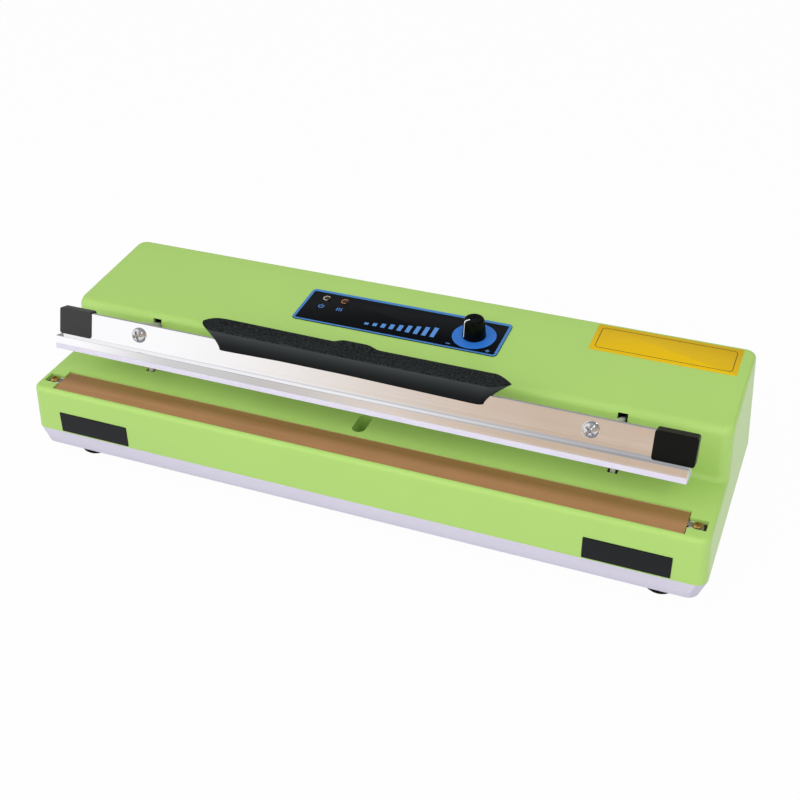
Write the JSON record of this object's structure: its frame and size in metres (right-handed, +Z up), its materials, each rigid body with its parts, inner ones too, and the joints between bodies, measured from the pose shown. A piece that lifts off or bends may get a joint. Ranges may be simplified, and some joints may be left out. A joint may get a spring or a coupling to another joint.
{
  "type": "hand impulse sealer",
  "caption": "Table-top impulse sealer: a moulded housing with a taped heating strip on its deck, a spring-hinged pressing bar with a grip, and a timer knob.",
  "frame": {"origin": "on the ground under the middle of the housing's box", "axes": "+X to the right along the heating strip, +Y to the back, +Z up"},
  "size_m": [0.443, 0.1497, 0.1053],
  "materials": {
    "green_plastic": "satin moulded plastic",
    "pale_plastic": "satin moulded plastic",
    "black_rubber": "matt",
    "black_plastic": "satin, lightly grained",
    "knob_plastic": "satin",
    "bed_board": "matt",
    "insulating_cloth": "woven",
    "heating_alloy": "drawn",
    "brown_tape": "coated glass cloth",
    "brown_plastic": "matt",
    "plated_steel": "zinc plated",
    "screw_steel": "bright plated",
    "spring_steel": "drawn wire",
    "panel_film": "printed film",
    "red_lamp": "clear tinted",
    "green_lamp": "clear tinted",
    "board_laminate": "lacquered",
    "component_plastic": "moulded",
    "core_iron": "varnished laminations",
    "winding_wrap": "wrapped in tape",
    "lead_insulation": "extruded",
    "satin_aluminium": "anodised",
    "white_silicone": "soft, smooth",
    "bush_brass": "turned"
  },
  "bodies": {
    "housing": {"upper_casing": "green_plastic", "base_tray": "pale_plastic", "rubber_feet": "black_rubber", "casing_screws": "screw_steel", "front_pad_left": "black_plastic", "front_pad_right": "black_plastic", "heating_bed": "bed_board", "insulating_strip": "insulating_cloth", "heating_wire": "heating_alloy", "release_tape": "brown_tape", "terminal_blocks": "brown_plastic", "terminal_left": "plated_steel", "terminal_right": "plated_steel", "terminal_screws": "screw_steel", "control_panel": "panel_film", "power_lamp": "red_lamp", "work_lamp": "green_lamp", "circuit_board": "board_laminate", "board_components": "component_plastic", "board_screws": "screw_steel", "potentiometer": "plated_steel", "potentiometer_nut": "screw_steel", "transformer_core": "core_iron", "transformer_winding": "winding_wrap", "transformer_strap": "plated_steel", "strap_screws": "screw_steel", "strap_nuts": "screw_steel", "clevis_left": "plated_steel", "clevis_right": "plated_steel", "clevis_screws": "screw_steel", "clevis_nuts": "screw_steel", "pivot_pins": "plated_steel", "return_spring_left": "spring_steel", "return_spring_right": "spring_steel", "microswitch": "component_plastic", "switch_screws": "screw_steel", "lead_wires": "lead_insulation", "cord_inlet": "black_rubber"},
    "press": {"press_bar": "satin_aluminium", "silicone_strip": "white_silicone", "end_cap_left": "black_plastic", "end_cap_right": "black_plastic", "handle": "black_plastic", "handle_screws": "screw_steel", "arm_left": "plated_steel", "arm_right": "plated_steel", "arm_bushes": "bush_brass", "bar_screws": "screw_steel", "bar_nuts": "screw_steel"},
    "plunger": {"switch_plunger": "red_lamp"},
    "knob": {"timer_knob": "knob_plastic", "knob_spindle": "plated_steel"}
  },
  "joints": [
    {"name": "bar_swing", "type": "hinge", "parent": "housing", "child": "press", "pos_m": [0, 0.02212, 0.0455], "axis": [1, 0, 0], "range_deg": [0, 18], "stiffness_Nm_per_rad": 1.5, "springref_deg": -28.65, "deforming": ["return_spring_left", "return_spring_right"]},
    {"name": "plunger_slide", "type": "slide", "parent": "housing", "child": "plunger", "axis": [0, 0, -1], "range_m": [0, 0.0018]},
    {"name": "knob_turn", "type": "hinge", "parent": "housing", "child": "knob", "pos_m": [0.05, 0.02842, 0.08406], "axis": [0, 0.0536, -0.9986], "range_deg": [0, 270]}
  ],
  "couplings": [
    {"joint": "plunger_slide", "follows": "bar_swing", "m_per_rad": 0.005145}
  ]
}
